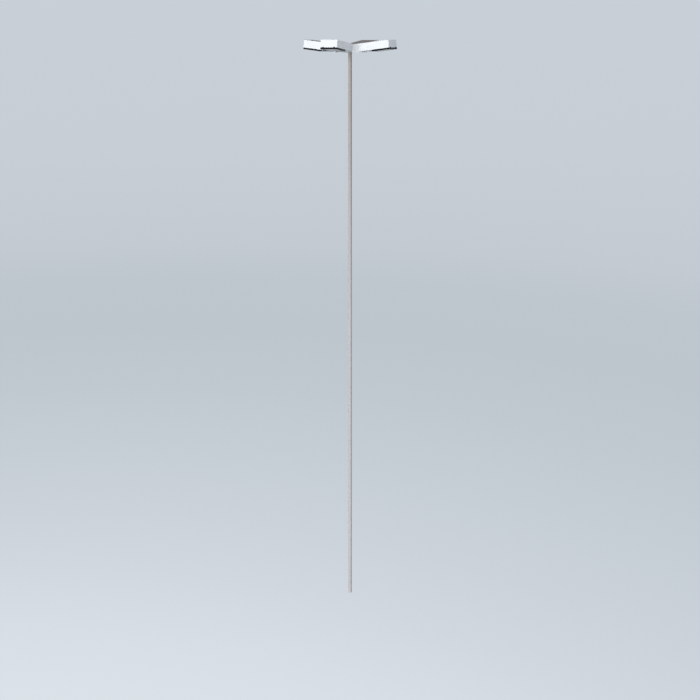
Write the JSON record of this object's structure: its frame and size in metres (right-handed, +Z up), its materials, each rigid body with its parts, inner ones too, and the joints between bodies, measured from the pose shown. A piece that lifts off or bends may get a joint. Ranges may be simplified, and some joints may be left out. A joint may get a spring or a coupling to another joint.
{
  "type": "parking area light",
  "caption": "Tall slender square pole with shoebox luminaires in a cross at its top, each on a tilt knuckle with a hinged lamp door and turn latches.",
  "frame": {"origin": "centre of the pole's foot, at the plane of its bottom rim", "axes": "+Z up along the pole; the four heads point along +X, +Y, -X and -Y"},
  "size_m": [1.6216, 1.6216, 9.3622],
  "materials": {
    "pole_paint": "satin",
    "housing_paint": "satin",
    "cover_anodised": "matte",
    "door_paint": "gloss",
    "lens_glass": "clear",
    "gasket_rubber": "matte",
    "reflector_aluminium": "bright",
    "lamp_glass": "coated",
    "ballast_steel": "satin",
    "zinc_steel": "zinc plated",
    "hub_aluminium": "as cast",
    "cable_plastic": "matte",
    "stainless_steel": "satin"
  },
  "bodies": {
    "pole": {"pole_shaft": "pole_paint", "handhole_cover": "pole_paint", "handhole_screw": "stainless_steel", "fuse_holder": "cable_plastic", "riser_cable": "cable_plastic", "hub_casting": "hub_aluminium", "canopy": "housing_paint", "canopy_cap": "housing_paint"},
    "right_head": {"right_housing": "housing_paint", "right_top_cover": "cover_anodised", "right_reflector": "reflector_aluminium", "right_lamp": "lamp_glass", "right_ballast": "ballast_steel", "right_hinge_pin": "zinc_steel", "right_tilt_yoke": "zinc_steel", "right_pivot_bolt": "zinc_steel"},
    "right_door": {"right_door_frame": "door_paint", "right_lens": "lens_glass", "right_lens_gasket": "gasket_rubber"},
    "right_latch_a": {"right_latch_a": "door_paint"},
    "right_latch_b": {"right_latch_b": "door_paint"},
    "back_head": {"back_housing": "housing_paint", "back_top_cover": "cover_anodised", "back_reflector": "reflector_aluminium", "back_lamp": "lamp_glass", "back_ballast": "ballast_steel", "back_hinge_pin": "zinc_steel", "back_tilt_yoke": "zinc_steel", "back_pivot_bolt": "zinc_steel"},
    "back_door": {"back_door_frame": "door_paint", "back_lens": "lens_glass", "back_lens_gasket": "gasket_rubber"},
    "back_latch_a": {"back_latch_a": "door_paint"},
    "back_latch_b": {"back_latch_b": "door_paint"},
    "left_head": {"left_housing": "housing_paint", "left_top_cover": "cover_anodised", "left_reflector": "reflector_aluminium", "left_lamp": "lamp_glass", "left_ballast": "ballast_steel", "left_hinge_pin": "zinc_steel", "left_tilt_yoke": "zinc_steel", "left_pivot_bolt": "zinc_steel"},
    "left_door": {"left_door_frame": "door_paint", "left_lens": "lens_glass", "left_lens_gasket": "gasket_rubber"},
    "left_latch_a": {"left_latch_a": "door_paint"},
    "left_latch_b": {"left_latch_b": "door_paint"},
    "front_head": {"front_housing": "housing_paint", "front_top_cover": "cover_anodised", "front_reflector": "reflector_aluminium", "front_lamp": "lamp_glass", "front_ballast": "ballast_steel", "front_hinge_pin": "zinc_steel", "front_tilt_yoke": "zinc_steel", "front_pivot_bolt": "zinc_steel"},
    "front_door": {"front_door_frame": "door_paint", "front_lens": "lens_glass", "front_lens_gasket": "gasket_rubber"},
    "front_latch_a": {"front_latch_a": "door_paint"},
    "front_latch_b": {"front_latch_b": "door_paint"}
  },
  "joints": [
    {"name": "right_tilt", "type": "hinge", "parent": "pole", "child": "right_head", "pos_m": [0.19363, 0, 9.22759], "axis": [0, -1, 0], "range_deg": [-6.8, 1.2]},
    {"name": "right_door_hinge", "type": "hinge", "parent": "right_head", "child": "right_door", "pos_m": [0.46696, 0, 9.18616], "axis": [0, 1, 0], "range_deg": [0, 90]},
    {"name": "right_latch_a_turn", "type": "hinge", "parent": "right_door", "child": "right_latch_a", "pos_m": [0.79869, 0.104, 9.22078], "axis": [0.993, 0, 0.1184], "range_deg": [0, 90]},
    {"name": "right_latch_b_turn", "type": "hinge", "parent": "right_door", "child": "right_latch_b", "pos_m": [0.79869, -0.104, 9.22078], "axis": [0.993, 0, 0.1184], "range_deg": [-90, 0]},
    {"name": "back_tilt", "type": "hinge", "parent": "pole", "child": "back_head", "pos_m": [0, 0.19363, 9.22759], "axis": [1, 0, 0], "range_deg": [-6.8, 1.2]},
    {"name": "back_door_hinge", "type": "hinge", "parent": "back_head", "child": "back_door", "pos_m": [0, 0.46696, 9.18616], "axis": [-1, 0, 0], "range_deg": [0, 90]},
    {"name": "back_latch_a_turn", "type": "hinge", "parent": "back_door", "child": "back_latch_a", "pos_m": [-0.104, 0.79869, 9.22078], "axis": [0, 0.993, 0.1184], "range_deg": [0, 90]},
    {"name": "back_latch_b_turn", "type": "hinge", "parent": "back_door", "child": "back_latch_b", "pos_m": [0.104, 0.79869, 9.22078], "axis": [0, 0.993, 0.1184], "range_deg": [-90, 0]},
    {"name": "left_tilt", "type": "hinge", "parent": "pole", "child": "left_head", "pos_m": [-0.19363, 0, 9.22759], "axis": [0, 1, 0], "range_deg": [-6.8, 1.2]},
    {"name": "left_door_hinge", "type": "hinge", "parent": "left_head", "child": "left_door", "pos_m": [-0.46696, 0, 9.18616], "axis": [0, -1, 0], "range_deg": [0, 90]},
    {"name": "left_latch_a_turn", "type": "hinge", "parent": "left_door", "child": "left_latch_a", "pos_m": [-0.79869, -0.104, 9.22078], "axis": [-0.993, 0, 0.1184], "range_deg": [0, 90]},
    {"name": "left_latch_b_turn", "type": "hinge", "parent": "left_door", "child": "left_latch_b", "pos_m": [-0.79869, 0.104, 9.22078], "axis": [-0.993, 0, 0.1184], "range_deg": [-90, 0]},
    {"name": "front_tilt", "type": "hinge", "parent": "pole", "child": "front_head", "pos_m": [0, -0.19363, 9.22759], "axis": [-1, 0, 0], "range_deg": [-6.8, 1.2]},
    {"name": "front_door_hinge", "type": "hinge", "parent": "front_head", "child": "front_door", "pos_m": [0, -0.46696, 9.18616], "axis": [1, 0, 0], "range_deg": [0, 90]},
    {"name": "front_latch_a_turn", "type": "hinge", "parent": "front_door", "child": "front_latch_a", "pos_m": [0.104, -0.79869, 9.22078], "axis": [0, -0.993, 0.1184], "range_deg": [0, 90]},
    {"name": "front_latch_b_turn", "type": "hinge", "parent": "front_door", "child": "front_latch_b", "pos_m": [-0.104, -0.79869, 9.22078], "axis": [0, -0.993, 0.1184], "range_deg": [-90, 0]}
  ]
}
